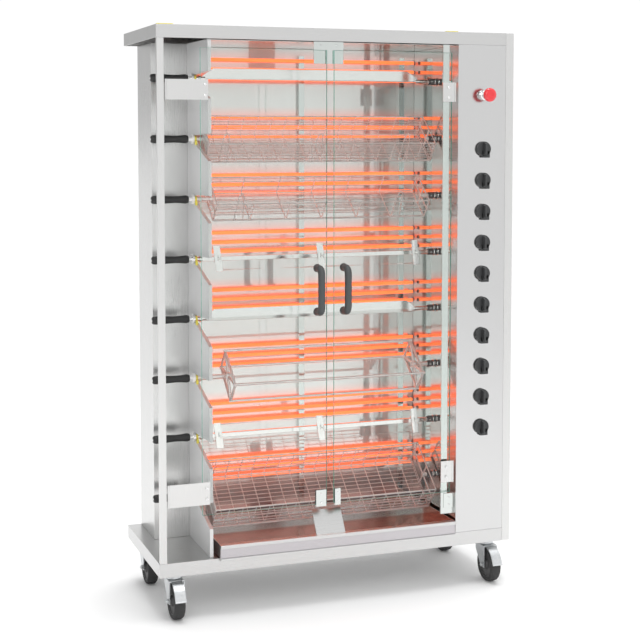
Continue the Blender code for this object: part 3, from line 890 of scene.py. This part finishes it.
spit = {
    "shaftRadius": 0.0078,
    "tilt": 40,  # degrees the racks lean forward
    "handleStart": 0.158,
    "gripLong": 0.1322,
    "socketAcross": (1.074, 1.099),
    "end": 1.1275,
}


def axisOf(number):
    return pivots["spit_%d_turn" % number]


def along(number, across):  # a point on a spit's axis
    axis = axisOf(number)
    return Vector((leftEdge + across, axis.y, axis.z))


def onRack(number, across, side, rise, tilt=None):  # a point beside the axis, leaning with the rack
    angle = math.radians(spit["tilt"] if tilt is None else tilt)
    axis = axisOf(number)
    return Vector((leftEdge + across, axis.y + side * math.cos(angle) - rise * math.sin(angle),
                   axis.z + side * math.sin(angle) + rise * math.cos(angle)))


def makeEnds(number, start, stop):  # handle-side shaft with its collar, and the drive end
    radius = spit["shaftRadius"]
    near = roundBar("shaft", along(number, spit["handleStart"] + 0.0003), along(number, start), radius, 20)
    far = roundBar("stub", along(number, stop), along(number, spit["end"]), radius, 20)
    collar = ringPiece("collar", along(number, 0.1745), radius, [(0.0155, 0.0045), (0.0168, 0.0035)], 32)
    ring = ringPiece("ring", along(number, 0.2000), radius, [(0.0115, 0.004), (0.012, 0)], 24)
    return joined("ends", near, far, collar, ring)


def makeSocket(number):  # black hexagonal drive coupling with a bright bayonet ring
    start, end = (along(number, across) for across in spit["socketAcross"])
    body = "spit_%d" % number
    hexagon = roundBar("socket_%d" % number, start, end, 0.0125, 6, 0.0012)
    middle = start + Vector((0.008, 0, 0))
    reach = Vector((0, 0.0145, 0))
    pin = roundBar("socketPin", middle - reach, middle + reach, 0.003, 12)
    ring = ringPiece("socketRing", end - Vector((0.003, 0, 0)), 0.0085, [(0.0145, 0.002), (0.0150, 0)], 24)
    give(hexagon, blackMoulding, "black_plastic", body)
    give(joined("socketTrim_%d" % number, pin, ring), chromePlate, "chrome", body)


def makeGrip(number):
    start, long = spit["handleStart"], spit["gripLong"]
    body = "spit_%d" % number
    profile = [(0, long), (0.008, long), (0.0115, 0.1305), (0.0138, 0.1265), (0.0145, 0.118),
               (0.0143, 0.100), (0.0128, 0.072), (0.0120, 0.050), (0.0126, 0.030), (0.0143, 0.014),
               (0.0146, 0.009), (0.0132, 0.0035), (0.0122, 0.0003), (0, 0.0003)]
    grip = turnedPiece("grip_%d" % number, profile, along(number, start), (-1, 0, 0), 32)
    give(grip, blackMoulding, "black_plastic", body, "spit_handle_%d" % number)
    cap = turnedPiece("gripCap_%d" % number, [(0, 0.0012), (0.003, 0.001), (0.0045, 0), (0, 0)],
                      along(number, start - long), (-1, 0, 0), 20)
    give(cap, chromePlate, "chrome", body)


def makeBushing(number):  # yellow nylon saddle that the shaft turns in, held in the wall's notch
    centre = along(number, 0.1835)
    half = 0.0035
    ring = ringPiece("bushing_%d" % number, centre, 0.0085, [(0.0118, half), (0.0124, 0)], 28)
    tab = boxPiece("bushingTab", centre + Vector((-half, -0.0200, -0.0230)),
                   centre + Vector((half, -0.0095, -0.0060)), 0.001)
    give(joined("bushing_%d" % number, ring, tab), yellowMoulding, "chrome", "root")


blade = {
    "leg": 0.0262,
    "thick": 0.0022,
    "across": (0.210, 1.030),
    "tip": 0.045,  # it narrows over this length at each end
    "steps": 20,
}


def makeBlade(number, tilt, drop=0.0):
    start, end = blade["across"]
    steps = blade["steps"]
    halves = []
    for side in (-1, 1):
        bpy.ops.object.select_all(action="DESELECT")
        bpy.ops.mesh.primitive_grid_add(x_subdivisions=steps, y_subdivisions=4, size=1)
        sheet = settle(bpy.context.object, "blade")
        for vertex in sheet.data.vertices:
            across = start + round((vertex.co.x + 0.5) * steps) / steps * (end - start)
            narrow = min(1.0, 0.25 + min(end - across, across - start) / blade["tip"])
            rise = (vertex.co.y + 0.5) * blade["leg"] * narrow
            vertex.co = onRack(number, across, side * rise, rise, tilt) - Vector((0, 0, drop))
        thickness = sheet.modifiers.new("Thick", "SOLIDIFY")
        thickness.thickness = blade["thick"]
        thickness.offset = 0
        applyModifiers(sheet)
        cleanMesh(sheet)
        halves.append(rounded(sheet, 0.0005, 1, 50))
    return halves + [makeEnds(number, start + 0.01, end - 0.01)]


forks = {
    "barHalf": 0.0078,
    "reach": 0.040,  # the tines' distance above and below the bar
    "lean": 0.006,  # half of the plate's lean across
    "front": 0.0105,  # the plates stand this far in front of the axis
    "tineLong": 0.150,
    "places": ((0.262, (1,)), (0.647, (-1, 1)), (1.020, (-1,))),  # across, and the ways the tines point
}


def makeForks(number):
    half, reach, lean = forks["barHalf"], forks["reach"], forks["lean"]
    bar = boxPiece("bar", along(number, 0.205) - Vector((0, half, half)),
                   along(number, 1.045) + Vector((0, half, half)), 0.0012, 3)
    pieces = [bar, makeEnds(number, 0.212, 1.040)]
    for across, ways in forks["places"]:
        middle = along(number, across)
        face = middle - Vector((0, forks["front"], 0))
        plate = blockAt("plate", Vector((0, 0, 0)), (0.013, 0.0015, reach + 0.006), 0)
        for vertex in plate.data.vertices:  # the plate leans, one end a little to each side
            vertex.co.x -= math.copysign(lean, vertex.co.z)
        rounded(plate, 0.001, 2)
        plate.data.transform(Matrix.Translation(face))
        screw = middle + Vector((0.004, -0.012, 0))
        wing = screw - Vector((0, 0.016, 0))
        pieces += [plate, blockAt("clampBlock", middle, (0.010, 0.0125, 0.0125), 0.0015, 2),
                   roundBar("clampScrew", screw, wing, 0.003, 12),
                   blockAt("clampWing", wing, (0.0015, 0.003, 0.009))]
        for way in ways:
            for up in (-1, 1):
                base = face + Vector((way * 0.010 - up * lean, 0, up * reach))
                pieces.append(tine(base, base + Vector((way * forks["tineLong"], 0, 0))))
    return pieces


def tine(base, tip):
    run = tip - base
    tube = roundBar("tine", base, tip, 0.0024, 12, 0)
    for vertex in tube.data.vertices:  # sharpened over the last quarter
        share = (vertex.co - base).dot(run) / run.length_squared
        if share > 0.9:
            centre = base + run * share
            vertex.co = centre + (vertex.co - centre) * 0.15
    return smoothed(tube)


basket = {
    "corner": 0.006,
    "frameWire": 0.0027,
    "spokeWire": 0.0032,
    "latchWire": 0.0021,
    "plateHalf": 0.0008,
    "plateInset": 0.002,
    "stripHigh": 0.014,
    "slotPitch": 0.013,
}


def makeBasket(number, span, wide, tall, pitch, crossPitch, wire, plates):
    half, up = wide / 2, tall / 2
    start, end = span
    corner = basket["corner"]
    cut = corner * 0.3
    hoop = [(-half, up), (-half, -up + corner), (-half + cut, -up + cut), (-half + corner, -up),
            (half - corner, -up), (half - cut, -up + cut), (half, -up + corner), (half, up)]
    hoops = []
    count = round((end - start) / crossPitch)
    for step in range(1, count):
        across = start + (end - start) * step / count
        hoops.append([onRack(number, across, s, r) for s, r in hoop])
    lines = []
    floorSteps = round((wide - 2 * corner) / pitch)
    for step in range(floorSteps + 1):
        side = -half + corner + (wide - 2 * corner) * step / floorSteps
        lines.append([onRack(number, start, side, -up - wire), onRack(number, end, side, -up - wire)])
    wallSteps = max(2, round((tall - corner) / pitch))
    for step in range(1, wallSteps):
        rise = -up + corner + (tall - corner) * step / wallSteps
        for side in (-half - wire, half + wire):
            lines.append([onRack(number, start, side, rise), onRack(number, end, side, rise)])
    mesh = wirePiece("basketWires", hoops + lines, wire, 0)
    rim = [(-half, up), (-half, -up), (half, -up), (half, up)]
    rods = [[onRack(number, start - 0.001, s, r), onRack(number, end + 0.001, s, r)] for s, r in rim]
    frames = [[onRack(number, across, s, r) for s, r in rim] for across in (start, end)]
    heavy = wirePiece("basketFrame", rods, basket["frameWire"], 1, frames)
    bars = [[onRack(number, across, 0, -up), onRack(number, across, 0, up)] for across in (start, end)]
    bars += [[onRack(number, across, -half, 0), onRack(number, across, half, 0)] for across in (start, end)]
    spokes = wirePiece("basketSpokes", bars, basket["spokeWire"])
    pieces = [mesh, heavy, spokes, makeEnds(number, start + 0.004, end - 0.004)]
    if plates:
        turn = Matrix.Rotation(math.radians(spit["tilt"]), 4, "X")
        thin, inset, tall = basket["plateHalf"], basket["plateInset"], basket["stripHigh"]
        plate = boxPiece("endPlate", Vector((-thin, -half + inset, -up + inset)),
                         Vector((thin, half - inset, up - inset)), 0.0004)
        plate.data.transform(Matrix.Translation(along(number, start + inset)) @ turn)
        strip = boxPiece("endStrip", Vector((-thin, -half + inset, -up)),
                         Vector((thin, half - inset, -up + tall)), 0.0004)
        count = round(wide / basket["slotPitch"])
        holes = [boxPiece("slot", Vector((-0.004, side - 0.0042, -up + 0.0035)),
                          Vector((0.004, side + 0.0042, -up + 0.0110)), 0)
                 for side in [-half + wide * (step + 0.5) / count for step in range(count)]]
        carved(strip, joined("slots", *holes))
        strip.data.transform(Matrix.Translation(along(number, end - inset)) @ turn)
        # black sheet just behind the slotted strip so the slots look dark: painted shade
        slotShade = boxPiece("slotShadeBack_%d" % number, Vector((-thin / 2, -half + inset, -up)),
                           Vector((thin / 2, half - inset, -up + tall)), 0.0002)
        slotShade.data.transform(Matrix.Translation(along(number, end - 0.0005)) @ turn)
        give(slotShade, blackMoulding, "black_plastic", "spit_%d" % number)
        pieces += [plate, strip]
    return pieces


def makeLatches(number, wide, tall, places):  # sprung wire loops that hold a basket's load
    half, up = wide / 2, tall / 2
    paths = []
    for across in places:
        loop = []
        for offset, rise in ((-0.016, -up), (-0.010, up + 0.010), (-0.006, up + 0.026), (0, up + 0.032),
                             (0.006, up + 0.026), (0.010, up + 0.010), (0.016, -up)):
            side = -half - 0.003 + (0.020 if rise > up else 0)
            loop.append(onRack(number, across + offset, side, rise))
        paths.append(loop)
    return wirePiece("latches", paths, basket["latchWire"])


cradle = {
    "wide": 0.158,
    "tall": 0.088,
    "across": (0.300, 1.020),
    "rodWire": 0.0048,
    "armWire": 0.0052,
    "wingLong": 0.026,
}


def makeCradle(number):
    half, up = cradle["wide"] / 2, cradle["tall"] / 2
    start, end = cradle["across"]
    corners = [(-half, up), (-half, -up), (half, -up), (half, up)]
    rods = [[onRack(number, start - 0.006, s, r), onRack(number, end + 0.006, s, r)] for s, r in corners]
    frames = [[onRack(number, across, s, r) for s, r in corners] for across in (start, end)]
    whole = wirePiece("cradleRods", rods, cradle["rodWire"], 2, frames)
    arms = [[along(number, across), onRack(number, across, side, rise)]
            for across in (start, end) for side, rise in corners]
    spider = wirePiece("cradleSpider", arms, cradle["armWire"], 2)
    hubs = [ringPiece("cradleHub", along(number, across), spit["shaftRadius"],
                      [(0.013, 0.008), (0.014, 0.006)], 24) for across in (start, end)]
    wings = []
    for across in (start - 0.014, end + 0.014):
        middle = along(number, across)
        tip = middle - Vector((0, cradle["wingLong"], 0))
        wings.append(roundBar("wingScrew", middle, tip, 0.003, 12))
        wings.append(blockAt("wing", tip, (0.0015, 0.004, 0.010), 0.0012))
    return [whole, spider, makeEnds(number, start + 0.004, end - 0.004), *hubs, *wings]


def makeSpits():
    recipes = {
        1: lambda n: makeBlade(n, -45),
        2: lambda n: [*makeBasket(n, (0.213, 1.066), 0.150, 0.084, 0.0140, 0.055, 0.0012, True),
                      makeLatches(n, 0.150, 0.084, (0.275, 0.62, 0.955))],
        3: lambda n: [*makeBasket(n, (0.240, 1.045), 0.140, 0.078, 0.026, 0.130, 0.0019, False),
                      makeLatches(n, 0.140, 0.078, (0.330, 0.93))],
        4: makeForks,
        5: lambda n: makeBlade(n, 45, 0.006),
        6: makeCradle,
        7: makeForks,
        8: lambda n: makeBasket(n, (0.222, 1.060), 0.214, 0.104, 0.0175, 0.050, 0.0016, True),
    }
    for number, make in recipes.items():
        node = "spit_%d" % number
        metal = wireSteel if number in (2, 3, 6, 8) else barSteel
        give(joined("spitBar_%d" % number, *make(number)), metal, "spit_steel", node, node)
        makeSocket(number)
        makeGrip(number)
        makeBushing(number)
        print("spit", number, "made")


makeSpits()


# floor, light and camera

studio = {
    "lens": 77.25,
    "cameraSpot": (-1.0494, -4.4538, 1.6531),  # across, deep, high
    "cameraTurn": (86.24, 0.0, -19.83),
    "shift": (0.0077, -0.1511),
    "floor": 400,
    "skyAcross": (-0.26, 0.06),  # the sky grows brighter from left to right
    "skyStrength": (0.5, 1.03),
    "sunStrength": 0.8,
    "sunSpread": 30,  # degrees
    "aim": (0, 0, 1.0),
    "softboxes": (("frontSoftbox", (-2.2, -4.5, 3.6), 3.0, 60), ("topSoftbox", (0.6, 0.4, 4.6), 3.5, 60)),
}


def makeStudio():
    bpy.ops.object.select_all(action="DESELECT")
    bpy.ops.mesh.primitive_plane_add(size=studio["floor"], location=(0, 0, 0))
    floor = bpy.context.object
    floor.name = "floor"
    floor.data.materials.append(surface("pale floor", "FFFFFF", 0.9, 0.0)[0])

    world = bpy.data.worlds.new("studio")
    world.use_nodes = True
    bpy.context.scene.world = world
    tree = world.node_tree
    back = tree.nodes["Background"]
    way = addNode(tree, "TexCoord").outputs["Generated"]
    across = addNode(tree, "SeparateXYZ", {"Vector": way}).outputs["X"]
    start, end = studio["skyAcross"]
    least, most = studio["skyStrength"]
    ramp = addNode(tree, "MapRange", {"Value": across, "From Min": start, "From Max": end,
                                      "To Min": least, "To Max": most}).outputs[0]
    tree.links.new(ramp, back.inputs["Strength"])
    back.inputs["Color"].default_value = (1, 1, 1, 1)

    sun = bpy.data.lights.new("overheadGlow", "SUN")
    sun.energy = studio["sunStrength"]
    sun.angle = math.radians(studio["sunSpread"])
    placed(bpy.data.objects.new("overheadGlow", sun))
    for name, spot, size, power in studio["softboxes"]:
        lamp = bpy.data.lights.new(name, "AREA")
        lamp.shape = "SQUARE"
        lamp.size = size
        lamp.energy = power
        holder = placed(bpy.data.objects.new(name, lamp))
        holder.location = spot
        holder.rotation_mode = "QUATERNION"
        holder.rotation_quaternion = (Vector(studio["aim"]) - Vector(spot)).to_track_quat("-Z", "Y")

    data = bpy.data.cameras.new("camera")
    data.lens = studio["lens"]
    data.sensor_width = 36
    data.shift_x, data.shift_y = studio["shift"]
    camera = placed(bpy.data.objects.new("camera", data))
    camera.location = place(*studio["cameraSpot"])
    camera.rotation_euler = [math.radians(a) for a in studio["cameraTurn"]]
    bpy.context.scene.camera = camera
    bpy.context.scene.view_settings.view_transform = "Standard"


makeStudio()
print("studio made")
